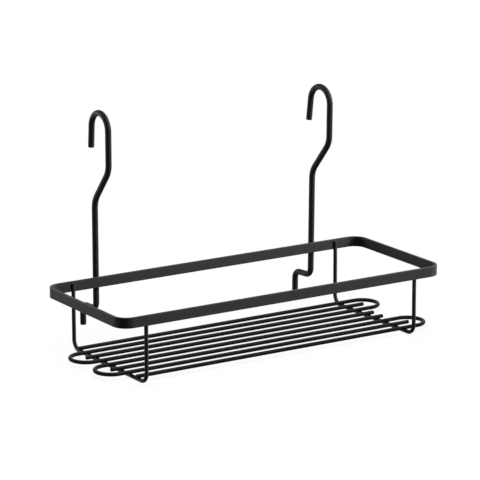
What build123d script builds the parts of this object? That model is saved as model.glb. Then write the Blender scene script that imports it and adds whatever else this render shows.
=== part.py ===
"""Hanging spice rack: a strip rim, two leg frames, a floor of interleaved hairpins and two rail hooks."""
import os
from math import cos, radians

from build123d import *

# Rim: one closed ring of flat strip standing on edge, its top this high above the table (sizes with the coat)
RIM_LENGTH = 300.0
RIM_DEPTH = 120.0
RIM_CORNER = 12.0
RIM_TOP = 56.2
STRIP_HEIGHT = 8.4
STRIP_THICKNESS = 2.2

# Leg frames: a U of wire under each end of the floor, both set a little to the left
LEG_WIRE = 3.2
LEG_INSET = 25.0
LEG_SHIFT = -0.8
LEG_BEND = 8.0
LEG_TOP_GAP = 1.2

# Floor: hairpins interleaved in two pairs, one pair behind the other
FLOOR_WIRE = 3.2
FLOOR_RUNS = 8
FLOOR_MARGIN = 11.2
LONG_OVERHANG = 11.0
SHORT_OVERHANG = 3.5

# Hooks: thick wire from the wall foot, up behind the rim, forward and over the rail
HOOK_WIRE = 5.0
HOOK_HEIGHT = 135.6
HOOK_MOUTH = 21.1
HOOK_TIP = 16.7
HOOK_REACH = 22.7
REACH_TOP = 88.4
REACH_BOTTOM = 61.0
REACH_BEND = 16.8
FOOT_REACH = 21.6
FOOT_TOP = 27.9
FOOT_FALL = 0.8
FOOT_TIP = 17.0
FOOT_BEND = 6.1

# How each hook is set on the back strip: its place and rise, then its lean, turn and flare in degrees
LEFT_HOOK_INSET = 48.0
LEFT_HOOK_RISE = 0.8
LEFT_HOOK_LEAN = 0.1
LEFT_HOOK_TURN = 0.0
LEFT_HOOK_FLARE = 4.0
RIGHT_HOOK_INSET = 46.3
RIGHT_HOOK_RISE = -0.8
RIGHT_HOOK_LEAN = 0.85
RIGHT_HOOK_TURN = 2.8
RIGHT_HOOK_FLARE = 6.9

# Welds: how far a wire is set down into its seat
WELD_SET = 0.3

# Places that follow from the sizes, with the middle of the rim at x = y = 0
LEG_X = RIM_LENGTH / 2 - LEG_INSET
LEG_Y = RIM_DEPTH / 2 - STRIP_THICKNESS - LEG_WIRE / 2 + WELD_SET
FLOOR_Z = LEG_WIRE + FLOOR_WIRE / 2 - WELD_SET
FLOOR_PITCH = 2 * (LEG_Y - FLOOR_MARGIN) / (FLOOR_RUNS - 1)
HOOK_Y = RIM_DEPTH / 2 + HOOK_WIRE / 2 - WELD_SET
WALL_Y = HOOK_Y + FOOT_REACH + HOOK_WIRE / 2
MIDDLE_Y = (WALL_Y - RIM_DEPTH / 2) / 2


def wire(path, diameter):
    """Round wire along a path of straight runs and bends, cut square at both ends."""
    start = Plane(path @ 0, z_dir=path % 0)
    return sweep(start * Circle(diameter / 2), path=path)


def rim_band():
    """Flat strip bent to a rounded rectangle and closed."""
    outside = RectangleRounded(RIM_LENGTH, RIM_DEPTH, RIM_CORNER)
    inside = offset(outside, -STRIP_THICKNESS)
    return Pos(0, 0, RIM_TOP - STRIP_HEIGHT) * extrude(outside - inside, STRIP_HEIGHT)


def leg_frame(x):
    """U of wire: two legs against the insides of the strips, and a base that the floor lies on."""
    top = RIM_TOP - LEG_TOP_GAP
    base = LEG_WIRE / 2
    bends = FilletPolyline((-LEG_Y, top), (-LEG_Y, base), (LEG_Y, base), (LEG_Y, top), radius=LEG_BEND)
    return wire(Plane.YZ.offset(x) * bends, LEG_WIRE)


def hairpin(short_run, long_run, side):
    """Floor wire bent double: runs are counted from the back, and the loop ends flush with the rim's end."""
    short_y, long_y = [LEG_Y - FLOOR_MARGIN - FLOOR_PITCH * run for run in (short_run, long_run)]
    loop_radius = abs(long_y - short_y) / 2
    loop_x = side * (RIM_LENGTH / 2 - FLOOR_WIRE / 2 - loop_radius)
    turn = 180 if side * (long_y - short_y) > 0 else -180
    short_leg = Line((-side * (LEG_X + SHORT_OVERHANG), short_y), (loop_x, short_y))
    loop = JernArc((loop_x, short_y), (side, 0), loop_radius, turn)
    long_leg = Line((loop_x, long_y), (-side * (LEG_X + LONG_OVERHANG), long_y))
    return wire(Pos(0, 0, FLOOR_Z) * (short_leg + loop + long_leg), FLOOR_WIRE)


def hook(x, rise, lean, turn, flare):
    """Wire from the wall foot, up behind the rim, forward, and over the rail to a flared tip."""
    arch_radius = (HOOK_MOUTH + HOOK_WIRE) / 2
    arch_z = RIM_TOP + HOOK_HEIGHT - HOOK_WIRE / 2 - arch_radius
    front_y = HOOK_Y - HOOK_REACH
    foot_y = HOOK_Y + FOOT_REACH
    foot_z = RIM_TOP - FOOT_TOP
    stem = FilletPolyline(
        (foot_y, foot_z - FOOT_FALL - FOOT_TIP),
        (foot_y, foot_z - FOOT_FALL),
        (HOOK_Y, foot_z),
        (HOOK_Y, RIM_TOP + REACH_BOTTOM),
        (front_y, RIM_TOP + REACH_TOP),
        (front_y, arch_z),
        radius=[FOOT_BEND, FOOT_BEND, REACH_BEND, REACH_BEND],
    )
    arch = JernArc((front_y, arch_z), (0, 1), arch_radius, flare - 180)
    tip_length = ((arch @ 1).Y - arch_z + HOOK_TIP) / cos(radians(flare))
    tip = Line(arch @ 1, arch @ 1 + arch % 1 * tip_length)
    bent = wire(Plane.YZ * (stem + arch + tip), HOOK_WIRE)
    weld_z = RIM_TOP - STRIP_HEIGHT / 2
    upright = Rot(0, 0, turn) * Pos(0, -HOOK_Y, -weld_z) * bent
    return Pos(x, HOOK_Y, weld_z + rise) * Rot(0, lean, 0) * upright


def seated(piece, *seats):
    """A wire with the flats or saddles where it is welded down onto its seats."""
    for seat in seats:
        piece -= seat
    return piece


rim = rim_band()
left_legs = leg_frame(LEG_SHIFT - LEG_X)
right_legs = leg_frame(LEG_SHIFT + LEG_X)
left_x = LEFT_HOOK_INSET - RIM_LENGTH / 2
right_x = RIM_LENGTH / 2 - RIGHT_HOOK_INSET
left_hook = hook(left_x, LEFT_HOOK_RISE, LEFT_HOOK_LEAN, LEFT_HOOK_TURN, LEFT_HOOK_FLARE)
right_hook = hook(right_x, RIGHT_HOOK_RISE, RIGHT_HOOK_LEAN, RIGHT_HOOK_TURN, RIGHT_HOOK_FLARE)

pieces = {
    "rim_band": rim,
    "left_leg_frame": seated(left_legs, rim),
    "right_leg_frame": seated(right_legs, rim),
    "rear_right_hairpin": seated(hairpin(0, 2, 1), left_legs, right_legs),
    "rear_left_hairpin": seated(hairpin(3, 1, -1), left_legs, right_legs),
    "front_left_hairpin": seated(hairpin(4, 6, -1), left_legs, right_legs),
    "front_right_hairpin": seated(hairpin(7, 5, 1), left_legs, right_legs),
    "left_hook": seated(left_hook, rim),
    "right_hook": seated(right_hook, rim),
}

# The origin is on the table under the middle of the whole rack, from the rim's front to the wall
os.makedirs("parts", exist_ok=True)
for name, piece in pieces.items():
    export_step(Pos(0, -MIDDLE_Y, 0) * piece, f"parts/{name}.step")
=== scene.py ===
# %% [markdown]
# # A hanging spice rack in satin black powder coat
# The rack is strip and wire, bent, welded and then coated in one go. The solids give every place and size.
# What they lack is what the coat does to the look: softened edges, filled weld corners and a satin skin. So
# each solid gets a finer surface that stands in its place, and the welds get their fillets.

import bpy
import numpy as np
from mathutils import Matrix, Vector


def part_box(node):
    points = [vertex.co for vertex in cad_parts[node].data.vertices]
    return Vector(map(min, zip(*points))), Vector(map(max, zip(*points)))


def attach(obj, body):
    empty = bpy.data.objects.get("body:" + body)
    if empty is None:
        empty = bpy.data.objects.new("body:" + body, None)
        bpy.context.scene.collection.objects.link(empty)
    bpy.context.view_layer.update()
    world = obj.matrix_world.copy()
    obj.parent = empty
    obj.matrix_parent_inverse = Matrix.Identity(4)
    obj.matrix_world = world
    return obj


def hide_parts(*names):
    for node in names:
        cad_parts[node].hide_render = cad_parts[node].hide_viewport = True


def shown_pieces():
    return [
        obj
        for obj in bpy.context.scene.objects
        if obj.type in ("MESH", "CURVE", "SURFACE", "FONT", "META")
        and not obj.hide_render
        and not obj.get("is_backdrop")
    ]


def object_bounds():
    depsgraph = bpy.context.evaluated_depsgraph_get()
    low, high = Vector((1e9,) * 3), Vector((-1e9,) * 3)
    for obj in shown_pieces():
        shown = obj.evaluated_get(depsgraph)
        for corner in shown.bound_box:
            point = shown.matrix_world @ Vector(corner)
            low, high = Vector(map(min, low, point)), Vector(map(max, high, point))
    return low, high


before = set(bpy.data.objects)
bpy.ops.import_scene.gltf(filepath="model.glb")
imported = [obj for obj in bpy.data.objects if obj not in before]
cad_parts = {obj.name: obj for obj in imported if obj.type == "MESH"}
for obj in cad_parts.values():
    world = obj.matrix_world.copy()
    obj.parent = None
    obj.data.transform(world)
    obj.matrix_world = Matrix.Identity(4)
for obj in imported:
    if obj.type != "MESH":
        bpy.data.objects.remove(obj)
cad_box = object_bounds()
MM = 0.001
X_AXIS, Y_AXIS, Z_AXIS = np.eye(3)
print("solids:", sorted(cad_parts))


def box_of(node):
    """Lowest and highest corner of a solid, as arrays."""
    low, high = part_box(node)
    return np.array(low), np.array(high)


# %% [markdown]
# ## Bent lines
# Strip and wire are bent flat, on a bench, so every piece starts as a line in one plane: straight runs with
# an arc at each bend. A curve object with a bevel could do this, but its corners are splines and not arcs.
# Complex numbers suit the job, because a turn is one multiplication.

# %% A line of straight runs and arcs
BEND_STEP = np.radians(4.5)
LEAD = 0.15 * MM


def bent_line(corners, radii):
    """Points and headings of the line through corners, with an arc of its own radius at each inner corner.

    An arc that turns by t at radius r starts r tan(t/2) before its corner. With side +1 for a left turn and
    -1 for a right one, its points are start + side i r (heading - arm), where arm = heading exp(i a) and a
    goes from 0 to t. A short lead on each straight run beside an arc keeps the shading of that run flat.
    """
    corners = np.asarray(corners, complex)
    headings = np.diff(corners) / np.abs(np.diff(corners))
    turns = np.angle(headings[1:] / headings[:-1])
    setback = radii * np.tan(np.abs(turns) / 2)
    spare = np.abs(np.diff(corners)) - np.append(setback, 0) - np.append(0, setback)
    lead = np.where(spare > 3 * LEAD, LEAD, 0)
    points = [corners[:1]]
    arms = [headings[:1]]
    for n, turn in enumerate(turns):
        arm = headings[n] * np.exp(1j * np.linspace(0, turn, 2 + int(abs(turn) / BEND_STEP)))
        start = corners[n + 1] - headings[n] * setback[n]
        arc = start + np.sign(turn) * 1j * radii[n] * (headings[n] - arm)
        points += [arc[:1] - lead[n] * arm[:1], arc, arc[-1:] + lead[n + 1] * arm[-1:]]
        arms += [arm[:1], arm, arm[-1:]]
    line = np.concatenate(points + [corners[-1:]])
    arms = np.concatenate(arms + [headings[-1:]])
    kept = np.append(np.abs(np.diff(line)) > LEAD / 10, True)
    return line[kept], arms[kept]


elbow, _ = bent_line([0, 20 * MM, (20 + 20j) * MM], np.array([8 * MM]))
print(f"an elbow of 8 mm radius: {len(elbow)} points, {np.abs(np.diff(elbow)).sum() / MM:.2f} mm long")


# %% [markdown]
# ## Profiles carried along a line
# A wire is a circle carried along its line, and the rim is a flat profile carried round its ring. Both are
# one grid of points: a row for each place on the line, a column for each point of the profile. The faces
# then join neighbouring rows, and a cut end closes on a pole.

# %% From a line and a profile to a mesh
def carry(line, arms, profile, origin, right, up):
    """Grid of points: origin + line in the plane of right and up, + profile across that line.

    The profile's real part goes to the left of the line, in its plane. Its imaginary part goes along the
    plane's normal, right x up.
    """
    flat = line[:, None] + 1j * arms[:, None] * profile.real
    normal = np.cross(right, up)
    in_plane = flat.real[..., None] * right + flat.imag[..., None] * up
    return origin + in_plane + profile.imag[..., None] * normal


def row_faces(rows, columns, ring):
    """Corner numbers of the faces between neighbouring rows. In a ring, the last row meets the first."""
    number = np.arange(rows * columns).reshape(rows, columns)
    if ring:
        number = np.vstack([number, number[:1]])
    beside = np.roll(number, -1, axis=1)
    return np.stack([number[:-1], beside[:-1], beside[1:], number[1:]], axis=-1).reshape(-1, 4)


def closed_mesh(grid, ring):
    """Points and faces of a closed surface. Without a ring, a pole in the middle of each end closes it."""
    rows, columns = grid.shape[:2]
    points = grid.reshape(-1, 3)
    faces = row_faces(rows, columns, ring).tolist()
    if not ring:
        first = np.arange(columns)
        last = first + (rows - 1) * columns
        pole = np.full(columns, len(points))
        faces += np.stack([pole, np.roll(first, -1), first], axis=-1).tolist()
        faces += np.stack([pole + 1, last, np.roll(last, -1)], axis=-1).tolist()
        points = np.vstack([points, grid[0].mean(axis=0), grid[-1].mean(axis=0)])
    return points, faces


print("faces of a ring with 4 rows and 3 columns:", len(row_faces(4, 3, ring=True)))


# %% [markdown]
# ## The powder coat
# Powder is sprayed on dry and melts into one skin, about 0.1 mm thick. It is a deep black with a satin
# sheen. Close to, it has a faint orange peel with a fine grain, and it draws thin over sharp edges, which
# look a little paler and smoother. A painted texture could hold all this, but noise on the rack's own
# coordinates needs no unwrapping. One group makes these three effects for both stocks. It is one powder, but
# the strip's copy is painted a shade paler, as painted light, and the wire's a shade deeper, as painted
# shade. The gloss is low, or the white room all round would veil the black.

# %% Shader group for the coat's skin
COAT_SOCKETS = [
    ("Deep", "INPUT", "NodeSocketColor"),
    ("Thin", "INPUT", "NodeSocketColor"),
    ("Satin", "INPUT", "NodeSocketFloat"),
    ("Edge", "INPUT", "NodeSocketFloat"),
    ("Colour", "OUTPUT", "NodeSocketColor"),
    ("Roughness", "OUTPUT", "NodeSocketFloat"),
    ("Height", "OUTPUT", "NodeSocketFloat"),
]
# Cells to a metre and detail of each noise, then its share in colour, height and roughness
PEEL_PER_METRE, PEEL_DETAIL = 700.0, 2.0
GRAIN_PER_METRE, GRAIN_DETAIL = 5200.0, 1.0
CLOUD_PER_METRE, CLOUD_DETAIL = 45.0, 3.0
GRAIN_SHADE = 0.35
GRAIN_HEIGHT = 0.25
SATIN_SPREAD = 0.10
EDGE_SMOOTHING = 0.08


def math_node(nodes, links, operation, first, second):
    """Math node on two sockets or numbers. Returns its result socket."""
    node = nodes.new("ShaderNodeMath")
    node.operation = operation
    for socket, value in zip(node.inputs, (first, second)):
        if isinstance(value, float):
            socket.default_value = value
        else:
            links.new(value, socket)
    return node.outputs[0]


def noise(nodes, links, place, per_metre, detail):
    """Noise on object coordinates with that many cells to a metre. Returns its value socket, from 0 to 1."""
    node = nodes.new("ShaderNodeTexNoise")
    node.inputs["Scale"].default_value = per_metre
    node.inputs["Detail"].default_value = detail
    links.new(place, node.inputs["Vector"])
    return node.outputs[0]


def coat_group():
    """Coat skin: colour, roughness and height from orange peel, fine grain and the thin coat at edges."""
    group = bpy.data.node_groups.new("coat_skin", "ShaderNodeTree")
    nodes, links = group.nodes, group.links
    for name, way, kind in COAT_SOCKETS:
        group.interface.new_socket(name, in_out=way, socket_type=kind)
    given = nodes.new("NodeGroupInput")
    result = nodes.new("NodeGroupOutput")
    place = nodes.new("ShaderNodeTexCoord").outputs["Object"]

    peel = noise(nodes, links, place, PEEL_PER_METRE, PEEL_DETAIL)
    grain = noise(nodes, links, place, GRAIN_PER_METRE, GRAIN_DETAIL)
    cloud = noise(nodes, links, place, CLOUD_PER_METRE, CLOUD_DETAIL)

    thin = math_node(nodes, links, "MULTIPLY", given.outputs["Edge"], cloud)
    shade = nodes.new("ShaderNodeMix")
    shade.data_type = "RGBA"
    speckle = math_node(nodes, links, "MULTIPLY", grain, GRAIN_SHADE)
    links.new(math_node(nodes, links, "ADD", thin, speckle), shade.inputs["Factor"])
    links.new(given.outputs["Deep"], shade.inputs["A"])
    links.new(given.outputs["Thin"], shade.inputs["B"])
    links.new(shade.outputs["Result"], result.inputs["Colour"])

    uneven = math_node(nodes, links, "MULTIPLY_ADD", cloud, SATIN_SPREAD)
    uneven.node.inputs[2].default_value = -SATIN_SPREAD / 2
    satin = math_node(nodes, links, "ADD", given.outputs["Satin"], uneven)
    smooth = math_node(nodes, links, "MULTIPLY", thin, EDGE_SMOOTHING)
    links.new(math_node(nodes, links, "SUBTRACT", satin, smooth), result.inputs["Roughness"])

    fine = math_node(nodes, links, "MULTIPLY", grain, GRAIN_HEIGHT)
    links.new(math_node(nodes, links, "ADD", peel, fine), result.inputs["Height"])
    return group


coat_skin = coat_group()
print("coat skin:", [socket.name for socket in coat_skin.interface.items_tree])


# %% The coat on strip and on wire
PEEL_DEPTH = 0.02 * MM
PEEL_STRENGTH = 0.5
COAT_GLOSS = 0.035


def coat(name, deep, thin, satin):
    """Satin black powder coat, with the skin's own values."""
    material = bpy.data.materials.new(name)
    material.use_nodes = True
    nodes, links = material.node_tree.nodes, material.node_tree.links
    surface = nodes["Principled BSDF"]
    surface.inputs["Specular IOR Level"].default_value = COAT_GLOSS
    skin = nodes.new("ShaderNodeGroup")
    skin.node_tree = coat_skin
    skin.inputs["Deep"].default_value = (deep, deep, deep, 1)
    skin.inputs["Thin"].default_value = (thin, thin, thin, 1)
    skin.inputs["Satin"].default_value = satin
    edge = nodes.new("ShaderNodeAttribute")
    edge.attribute_name = "edge"
    bump = nodes.new("ShaderNodeBump")
    bump.inputs["Strength"].default_value = PEEL_STRENGTH
    bump.inputs["Distance"].default_value = PEEL_DEPTH
    links.new(edge.outputs["Fac"], skin.inputs["Edge"])
    links.new(skin.outputs["Colour"], surface.inputs["Base Color"])
    links.new(skin.outputs["Roughness"], surface.inputs["Roughness"])
    links.new(skin.outputs["Height"], bump.inputs["Height"])
    links.new(bump.outputs["Normal"], surface.inputs["Normal"])
    return material


# Two copies of one powder coat: the strip's is painted paler as painted light, and the wire's deeper as
# painted shade
strip_coat_painted_light = coat("strip_coat_painted_light", deep=0.030, thin=0.042, satin=0.42)
wire_coat_painted_shade = coat("wire_coat_painted_shade", deep=0.022, thin=0.032, satin=0.42)
print("coats:", strip_coat_painted_light.name, wire_coat_painted_shade.name)


# %% [markdown]
# ## Putting a piece in the scene
# A finished piece sits at the origin with its place in its mesh, as the solids do. It rides on the rack's
# one body, hides the solid that it stands for, and carries one number for each point: how thin the coat is.

# %% Finished pieces
def finished(name, points, faces, edge, material, node=None):
    """Mesh object from points and faces, riding on the rack. edge is 1 where the coat is thin, else 0."""
    mesh = bpy.data.meshes.new(name)
    mesh.from_pydata(points.tolist(), [], faces)
    mesh.polygons.foreach_set("use_smooth", np.ones(len(mesh.polygons), bool))
    thin_coat = mesh.attributes.new("edge", "FLOAT", "POINT")
    thin_coat.data.foreach_set("value", edge.astype(np.float32).ravel())
    mesh.materials.append(material)
    piece = bpy.data.objects.new(name, mesh)
    bpy.context.scene.collection.objects.link(piece)
    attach(piece, "root")
    if node:
        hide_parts(node)
    print(f"{name}: {len(mesh.vertices)} points, {len(mesh.polygons)} faces")


print("solids to stand in for:", len(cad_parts))


# %% [markdown]
# ## The rim
# One strip on edge, bent to a rounded rectangle. A Bevel modifier on the solid would round its edges too,
# but the solid's mesh is loose triangles. Carrying a rounded profile round the ring gives clean rows instead.

# %% Rim band
STRIP_THICKNESS = 2.2 * MM
STRIP_EDGE = 0.4 * MM
RIM_CORNER = 12.0 * MM

rim_low, rim_high = box_of("rim_band")
rim_middle = (rim_low + rim_high) / 2


def rectangle(width, height):
    """Corners of a rectangle about 0, counterclockwise, from the middle of its right side and back to it."""
    right, top = width / 2, height / 2
    return [right, right + 1j * top, -right + 1j * top, -right - 1j * top, right - 1j * top, right]


def rim_band():
    """Profile of the strip, real part across it and imaginary part up it, carried round the rim's ring."""
    size = rim_high - rim_low
    ring = rectangle(size[0] - STRIP_THICKNESS, size[1] - STRIP_THICKNESS)
    line, arms = bent_line(ring, np.full(4, RIM_CORNER - STRIP_THICKNESS / 2))
    profile, turning = bent_line(rectangle(STRIP_THICKNESS, size[2]), np.full(4, STRIP_EDGE))
    same_all_round = np.tile(profile[:-1], (len(line) - 1, 1))
    grid = carry(line[:-1], arms[:-1], same_all_round, rim_middle, X_AXIS, Y_AXIS)
    tilt = np.abs(np.sin(2 * np.angle(turning[:-1])))
    return grid, np.tile(tilt, (len(line) - 1, 1))


grid, edge = rim_band()
finished("rim_band_coated", *closed_mesh(grid, ring=True), edge, strip_coat_painted_light, "rim_band")

# %% [markdown]
# ## The wires
# All the wires are cut square, and the coat rounds the cut a little. A Bevel modifier could do this, but the
# circle can do it on its way: its radius shrinks over the last bit of each end, on a quarter circle, before
# the pole closes it.

# %% A coated wire
AROUND = 36
END_ROUND = 0.45 * MM
END_STEPS = 6


def wire(corners, radii, diameter, origin, right, up):
    """Circle carried along a bent line: centre(s) + r(s) exp(i a), with a all round.

    Near an end, r shrinks by END_ROUND (1 - sin t) while the place is END_ROUND (1 - cos t) from the cut.
    """
    line, arms = bent_line(corners, radii)
    t = np.linspace(0, np.pi / 2, END_STEPS)
    depth = END_ROUND * (1 - np.cos(t))
    shrink = END_ROUND * (1 - np.sin(t))
    run = len(line) - 2
    line = np.concatenate([line[0] + arms[0] * depth, line[1:-1], line[-1] - arms[-1] * depth[::-1]])
    arms = np.concatenate([np.full(END_STEPS, arms[0]), arms[1:-1], np.full(END_STEPS, arms[-1])])
    radius = diameter / 2 - np.concatenate([shrink, np.zeros(run), shrink[::-1]])
    circle = np.exp(2j * np.pi * np.arange(AROUND) / AROUND)
    points, faces = closed_mesh(carry(line, arms, radius[:, None] * circle, origin, right, up), ring=False)
    thin = np.concatenate([np.ones(END_STEPS), np.zeros(run), np.ones(END_STEPS)])
    return points, faces, np.append(np.repeat(thin, AROUND), [1, 1])


print(f"a wire has {AROUND} points round it and {END_STEPS} rows in each rounded end")


# %% [markdown]
# ## Leg frames
# A U of wire stands under each end of the floor, with its tops against the insides of the strips. Its solid's
# box gives the wire, the width and the height, and only the bend is written here.

# %% Both leg frames
LEG_BEND = 8.0 * MM

for node in ("left_leg_frame", "right_leg_frame"):
    low, high = box_of(node)
    leg_wire = high[0] - low[0]
    front, back = low[1] + leg_wire / 2, high[1] - leg_wire / 2
    base = low[2] + leg_wire / 2
    corners = [front + 1j * high[2], front + 1j * base, back + 1j * base, back + 1j * high[2]]
    middle = X_AXIS * (low[0] + high[0]) / 2
    surface = wire(corners, np.full(2, LEG_BEND), leg_wire, middle, Y_AXIS, Z_AXIS)
    finished(node + "_coated", *surface, wire_coat_painted_shade, node)

# %% [markdown]
# ## The floor
# Four hairpins lie across the bases, two from each end, and each holds one run of its neighbour between its
# own two runs. The box of a hairpin ends at its loop on one side and at its longer run on the other, so only
# the shorter run's end is written here.

# %% Four hairpins
SHORTER_BY = 7.5 * MM
# Side of the loop, 1 for the right, and side of the shorter run, 1 for the rear
HAIRPINS = {
    "rear_right_hairpin": (1, 1),
    "rear_left_hairpin": (-1, -1),
    "front_left_hairpin": (-1, 1),
    "front_right_hairpin": (1, -1),
}

for node, (loop_side, short_side) in HAIRPINS.items():
    low, high = box_of(node)
    floor_wire = high[2] - low[2]
    rear, front = high[1] - floor_wire / 2, low[1] + floor_wire / 2
    short_y, long_y = (rear, front) if short_side > 0 else (front, rear)
    loop_x, end_x = (high[0], low[0]) if loop_side > 0 else (low[0], high[0])
    loop_x -= loop_side * floor_wire / 2
    corners = [end_x + loop_side * SHORTER_BY + 1j * short_y, loop_x + 1j * short_y, loop_x + 1j * long_y]
    corners.append(end_x + 1j * long_y)
    level = Z_AXIS * (low[2] + high[2]) / 2
    surface = wire(corners, np.full(2, (rear - front) / 2), floor_wire, level, X_AXIS, Y_AXIS)
    finished(node + "_coated", *surface, wire_coat_painted_shade, node)

# %% [markdown]
# ## The hooks
# Thick wire starts at the foot against the wall, runs up behind the rim, steps forward, and arches back over
# the rail. The arch is two bends of one radius with no run between them. The hooks are not quite alike: each
# has its own small rise, lean and turn at the weld, and its own flare at the tip, the angles in degrees.

# %% Both hooks
HOOK_WIRE = 5.0 * MM
HOOK_HEIGHT = 135.6 * MM
HOOK_MOUTH = 21.1 * MM
HOOK_TIP = 16.7 * MM
HOOK_REACH = 22.7 * MM
REACH_TOP = 88.4 * MM
REACH_BOTTOM = 61.0 * MM
REACH_BEND = 16.8 * MM
FOOT_REACH = 21.6 * MM
FOOT_TOP = 27.9 * MM
FOOT_FALL = 0.8 * MM
FOOT_TIP = 17.0 * MM
FOOT_BEND = 6.1 * MM
WELD_SET = 0.3 * MM
HOOKS = {
    "left_hook": dict(x=rim_low[0] + 48.0 * MM, rise=0.8 * MM, lean=0.1, turn=0.0, flare=4.0),
    "right_hook": dict(x=rim_high[0] - 46.3 * MM, rise=-0.8 * MM, lean=0.85, turn=2.8, flare=6.9),
}


def hook(x, rise, lean, turn, flare):
    """Wire from foot to tip: weld point + (line's real part) back + (its imaginary part) up.

    Up leans sideways, (sin l, 0, cos l), and back turns about up: (-sin t cos l, cos t, sin t sin l).
    """
    lean, turn, flare = np.radians([lean, turn, flare])
    weld = np.array([x, rim_high[1] + HOOK_WIRE / 2 - WELD_SET, rim_middle[2] + rise])
    rim_top = rim_high[2] - rim_middle[2]
    arch = (HOOK_MOUTH + HOOK_WIRE) / 2
    arch_top = rim_top + HOOK_HEIGHT - HOOK_WIRE / 2
    foot_top = rim_top - FOOT_TOP
    tip_corner = -HOOK_REACH + arch * (1 + np.tan(np.pi / 4 - flare / 2)) + 1j * arch_top
    corners = [
        FOOT_REACH + 1j * (foot_top - FOOT_FALL - FOOT_TIP),
        FOOT_REACH + 1j * (foot_top - FOOT_FALL),
        1j * foot_top,
        1j * (rim_top + REACH_BOTTOM),
        -HOOK_REACH + 1j * (rim_top + REACH_TOP),
        -HOOK_REACH + 1j * arch_top,
        tip_corner,
        tip_corner + (arch + HOOK_TIP) * (np.tan(flare) - 1j),
    ]
    radii = np.array([FOOT_BEND, FOOT_BEND, REACH_BEND, REACH_BEND, arch, arch])
    up = np.array([np.sin(lean), 0, np.cos(lean)])
    back = np.array([-np.sin(turn) * np.cos(lean), np.cos(turn), np.sin(turn) * np.sin(lean)])
    return wire(corners, radii, HOOK_WIRE, weld, back, up)


for node, setting in HOOKS.items():
    finished(node + "_coated", *hook(**setting), wire_coat_painted_shade, node)

# %% [markdown]
# ## The welds
# Resistance welding sinks each wire 0.3 mm into its seat, with no bead. Then the coat runs into the sharp gap
# beside the seat and fills it. Where two wires cross, the gap widens with the distance from the crossing, and
# the fill stops where the gap is FILL wide. The fills are too small for the solids, so they are made here.

# %% Fillets where the floor crosses the bases
FILL = 0.5 * MM
SECTION = 7
FLOOR_RUNS = 8

base_low, base_high = box_of("left_leg_frame")
floor_low, floor_high = box_of("rear_right_hairpin")
wire_radius = (floor_high[2] - floor_low[2]) / 2
base_z = base_low[2] + wire_radius
floor_z = floor_low[2] + wire_radius


def reach(gap, angle):
    """Distance from the crossing, in plan and at an angle to X, where the wires' surfaces are a gap apart.

    Both wires have radius r. With K = floor_z - base_z - gap, the half chords there add up to K:
    sqrt(r^2 - (d sin a)^2) + sqrt(r^2 - (d cos a)^2) = K. Solved for the distance, with Q = 4 r^2 - K^2,
    d^2 = K Q / (K + sqrt(K^2 + Q cos^2 2a)).
    """
    chords = floor_z - base_z - gap
    spare = 4 * wire_radius ** 2 - chords ** 2
    return np.sqrt(chords * spare / (chords + np.sqrt(chords ** 2 + spare * np.cos(2 * angle) ** 2)))


def crossing_fillet():
    """Ring round a crossing at (0, 0): from floor to base on a hollow curve, and back through the wires.

    The curve runs from z = floor_z - sqrt(r^2 - y^2) down to z = base_z + sqrt(r^2 - x^2), and its middle is
    drawn in, halfway to where the gap closes.
    """
    angle = 2 * np.pi * np.arange(AROUND)[:, None] / AROUND
    outer, inner = reach(FILL, angle), reach(0, angle)
    t = np.linspace(0, 1, SECTION)
    z_floor = floor_z - np.sqrt(wire_radius ** 2 - (outer * np.sin(angle)) ** 2)
    z_base = base_z + np.sqrt(wire_radius ** 2 - (outer * np.cos(angle)) ** 2)
    distance = np.hstack([outer - (outer - inner) / 2 * np.sin(np.pi * t), inner / 2])
    height = np.hstack([z_floor + (z_base - z_floor) * t, (z_floor + z_base) / 2])
    return np.stack([distance * np.cos(angle), distance * np.sin(angle), height], axis=-1)


def set_down(grid, places):
    """Points and faces of a ring at each place (x, y, z, facing). Facing -1 turns it half round, about Z."""
    points, faces = closed_mesh(grid, ring=True)
    places = np.array(places)[:, None]
    turn = places[..., 3:] * [1, 1, 0] + [0, 0, 1]
    all_points = (places[..., :3] + turn * points).reshape(-1, 3)
    shift = len(points) * np.arange(len(places))[:, None, None]
    return all_points, (np.array(faces) + shift).reshape(-1, 4).tolist()


bases = [np.mean(box_of(node), axis=0)[0] for node in ("left_leg_frame", "right_leg_frame")]
first_run = floor_high[1] - wire_radius
last_run = box_of("front_right_hairpin")[0][1] + wire_radius
crossings = [(x, y, 0, 1) for x in bases for y in np.linspace(first_run, last_run, FLOOR_RUNS)]
points, faces = set_down(crossing_fillet(), crossings)
finished("floor_weld_fillets", points, faces, np.zeros(len(points)), wire_coat_painted_shade)

# %% Fillets where legs and hooks lie against the strips
LEG_FILLET = 0.5 * MM
HOOK_FILLET = 0.8 * MM
ALONG = 15
TAPER_START = 0.03


def strip_fillet(radius, fillet, height):
    """Ring up one side of an upright wire on a strip's face y = 0 and down its other side.

    The wire's centre is at y = c = radius - WELD_SET. A fillet of radius q has its centre at (p, q), with
    p^2 = (radius + q)^2 - (c - q)^2. It touches the face at (p, 0) and the wire on the line of the centres,
    and q swells from either end as sqrt(sin).
    """
    t = np.linspace(TAPER_START, 1 - TAPER_START, ALONG)[:, None]
    q = fillet * np.sqrt(np.sin(np.pi * t))
    c = radius - WELD_SET
    p = np.sqrt((radius + q) ** 2 - (c - q) ** 2)
    face_side, wire_side = 1.5 * np.pi, np.arctan2(c - q, -p)
    angle = face_side + (wire_side - face_side) * np.linspace(0, 1, SECTION)
    x = np.hstack([p + q * np.cos(angle), p / 2])
    y = np.hstack([q + q * np.sin(angle), np.full_like(q, -WELD_SET / 4)])
    z = np.repeat(height * t, SECTION + 1, axis=1)
    one_side = np.stack([x, y, z], axis=-1)
    return np.vstack([one_side, one_side[::-1] * [-1, 1, 1]])


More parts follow.
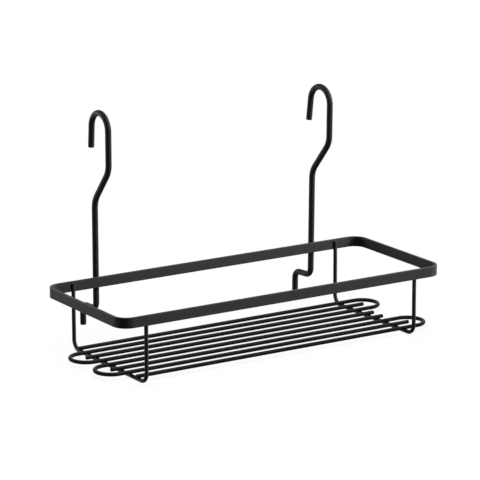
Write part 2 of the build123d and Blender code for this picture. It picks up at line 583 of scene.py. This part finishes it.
inner_faces = [(rim_low[1] + STRIP_THICKNESS, 1), (rim_high[1] - STRIP_THICKNESS, -1)]
leg_welds = [(x, y, rim_low[2], facing) for x in bases for y, facing in inner_faces]
points, faces = set_down(strip_fillet(wire_radius, LEG_FILLET, base_high[2] - rim_low[2]), leg_welds)
finished("leg_weld_fillets", points, faces, np.zeros(len(points)), wire_coat_painted_shade)

hook_welds = [(setting["x"], rim_high[1], rim_low[2], 1) for setting in HOOKS.values()]
points, faces = set_down(strip_fillet(HOOK_WIRE / 2, HOOK_FILLET, rim_high[2] - rim_low[2]), hook_welds)
finished("hook_weld_fillets", points, faces, np.zeros(len(points)), wire_coat_painted_shade)

# %% [markdown]
# ## Floor and surroundings
# The rack is shown on a plain white floor in a white room. Lamps strong enough to make the floor white would
# be too strong for the rack. So floor and room glow, but only for the camera and for reflections, and the lit
# part on top of the floor's glow keeps the soft shadow. Further out the lamps fade and the glow grows to make
# up for it, so that no horizon shows in low views.

# %% White floor and white room
FLOOR_SIZE = 12.0
FLOOR_WHITE = 0.8
FLOOR_GLOW = 0.884
GLOW_REACH = 5.0
ROOM_LIGHT = 0.02


def seen(nodes, links):
    """Socket that is 1 for what the camera sees, directly, in a reflection or through glass, and else 0."""
    path = nodes.new("ShaderNodeLightPath")
    direct = math_node(nodes, links, "MAXIMUM", path.outputs["Is Camera Ray"], path.outputs["Is Glossy Ray"])
    return math_node(nodes, links, "MAXIMUM", direct, path.outputs["Is Transmission Ray"])


def floor_glow(nodes, links):
    """Socket of the floor's glow: FLOOR_GLOW in the middle, rising evenly to 1 at GLOW_REACH from it."""
    distance = nodes.new("ShaderNodeVectorMath")
    distance.operation = "LENGTH"
    links.new(nodes.new("ShaderNodeTexCoord").outputs["Object"], distance.inputs[0])
    rise = nodes.new("ShaderNodeMapRange")
    rise.inputs["From Max"].default_value = GLOW_REACH
    rise.inputs["To Min"].default_value = FLOOR_GLOW
    links.new(distance.outputs["Value"], rise.inputs["Value"])
    return rise.outputs["Result"]


def white_floor():
    """Flat square at the height where the rack stands: point(u, v) = (u, v, 0)."""
    half = FLOOR_SIZE / 2
    mesh = bpy.data.meshes.new("floor")
    corners = [(-half, -half, 0), (half, -half, 0), (half, half, 0), (-half, half, 0)]
    mesh.from_pydata(corners, [], [(0, 1, 2, 3)])
    material = bpy.data.materials.new("white_floor")
    material.use_nodes = True
    nodes, links = material.node_tree.nodes, material.node_tree.links
    nodes.clear()
    lit = nodes.new("ShaderNodeBsdfDiffuse")
    lit.inputs["Color"].default_value = (FLOOR_WHITE, FLOOR_WHITE, FLOOR_WHITE, 1)
    glow = nodes.new("ShaderNodeEmission")
    strength = math_node(nodes, links, "MULTIPLY", seen(nodes, links), floor_glow(nodes, links))
    links.new(strength, glow.inputs["Strength"])
    both = nodes.new("ShaderNodeAddShader")
    links.new(lit.outputs[0], both.inputs[0])
    links.new(glow.outputs[0], both.inputs[1])
    output = nodes.new("ShaderNodeOutputMaterial")
    links.new(both.outputs[0], output.inputs["Surface"])
    mesh.materials.append(material)
    floor = bpy.data.objects.new("floor", mesh)
    bpy.context.scene.collection.objects.link(floor)
    floor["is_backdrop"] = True
    return floor


def white_room():
    """World that lights at ROOM_LIGHT, and is seen at a strength of 1."""
    world = bpy.data.worlds.new("white_room")
    world.use_nodes = True
    nodes, links = world.node_tree.nodes, world.node_tree.links
    background = nodes["Background"]
    background.inputs["Color"].default_value = (1, 1, 1, 1)
    strength = math_node(nodes, links, "MAXIMUM", seen(nodes, links), ROOM_LIGHT)
    links.new(strength, background.inputs["Strength"])
    bpy.context.scene.world = world
    return world


print("floor:", white_floor().dimensions[:], "room:", white_room().name)

# %% [markdown]
# ## Softboxes
# One softbox stands at the right, and a small one low down behind the rack at the left. They light the strips
# and leave what faces the camera dark, and one overhead lights everything evenly. The side boxes must not
# spill on the white floor, nor pale the rack's own floor wires, which get a small box from above instead. Nor
# should the legs throw a dark patch from the right box on the back strip. A photographer hangs black flags
# and fills a patch with a reflector, and here light linking does both.

# %% Softboxes and what they light
rack_middle = (np.array(cad_box[0]) + np.array(cad_box[1])) / 2
side_lit = bpy.data.collections.new("side_lit")
floor_lit = bpy.data.collections.new("floor_lit")
all_but_legs = bpy.data.collections.new("all_but_legs")
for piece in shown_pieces():
    lies_flat = "hairpin" in piece.name or "floor" in piece.name
    (floor_lit if lies_flat else side_lit).objects.link(piece)
    if "leg" not in piece.name:
        all_but_legs.objects.link(piece)


def softbox(name, azimuth, elevation, distance, size, watts, lights_only=None, shaded_by=None):
    """Rectangular lamp that faces the rack. Azimuth 0 is in front, and 90 to the right, in degrees."""
    a, e = np.radians([azimuth, elevation])
    back = np.array([np.sin(a) * np.cos(e), -np.cos(a) * np.cos(e), np.sin(e)])
    right = np.array([np.cos(a), np.sin(a), 0])
    lamp = bpy.data.lights.new(name, "AREA")
    lamp.shape = "RECTANGLE"
    lamp.size, lamp.size_y = size
    lamp.energy = watts
    box = bpy.data.objects.new(name, lamp)
    turn = np.column_stack([right, np.cross(back, right), back])
    box.matrix_world = Matrix.Translation(rack_middle + distance * back) @ Matrix(turn.tolist()).to_4x4()
    box.visible_camera = False
    box.light_linking.receiver_collection = lights_only
    box.light_linking.blocker_collection = shaded_by
    bpy.context.scene.collection.objects.link(box)
    print(f"{name}: {watts} W")


softbox("left_softbox", azimuth=-138, elevation=6, distance=0.8, size=(0.3, 0.3), watts=5.4,
        lights_only=side_lit)
softbox("right_softbox", azimuth=64, elevation=30, distance=1.5, size=(0.9, 0.8), watts=69,
        lights_only=side_lit, shaded_by=all_but_legs)
softbox("floor_wire_softbox", azimuth=60, elevation=70, distance=1.5, size=(0.5, 0.5), watts=20,
        lights_only=floor_lit)
softbox("top_softbox", azimuth=0, elevation=88, distance=3.0, size=(4.0, 4.0), watts=18)
bpy.context.scene.view_settings.view_transform = "Standard"

# %% [markdown]
# ## The camera
# The view is from the front left and a little above, with a long lens, so that the strips stay nearly
# parallel. The camera stands at its distance from the middle of the rim's top, on a line through that point,
# and is then moved sideways so that the point falls where it does in the picture.

# %% Camera at the photograph's angle
IMAGE = 480
SENSOR = 36.0
AZIMUTH, ELEVATION, ROLL = np.radians([-32.311, 14.164, -0.186])
FOCAL_PIXELS = 2955.4
DISTANCE = 2.3532
RIM_PIXEL = np.array([245.95, 275.02])


def camera():
    """Camera whose axes are right, up and back. One pixel is DISTANCE / FOCAL_PIXELS wide at the rim."""
    back = np.array([
        np.sin(AZIMUTH) * np.cos(ELEVATION),
        -np.cos(AZIMUTH) * np.cos(ELEVATION),
        np.sin(ELEVATION),
    ])
    level = np.array([np.cos(AZIMUTH), np.sin(AZIMUTH), 0])
    upright = np.cross(back, level)
    right = np.cos(ROLL) * level + np.sin(ROLL) * upright
    up = np.cos(ROLL) * upright - np.sin(ROLL) * level
    aside, below = (RIM_PIXEL - IMAGE / 2) * DISTANCE / FOCAL_PIXELS
    rim_top = np.array([rim_middle[0], rim_middle[1], rim_high[2]])
    place = rim_top + DISTANCE * back - aside * right + below * up
    lens = bpy.data.cameras.new("camera")
    lens.sensor_width = SENSOR
    lens.lens = FOCAL_PIXELS * SENSOR / IMAGE
    view = bpy.data.objects.new("camera", lens)
    turned = Matrix(np.column_stack([right, up, back]).tolist()).to_4x4()
    view.matrix_world = Matrix.Translation(place) @ turned
    bpy.context.scene.collection.objects.link(view)
    bpy.context.scene.camera = view
    return view


print("camera:", [round(x, 3) for x in camera().location])
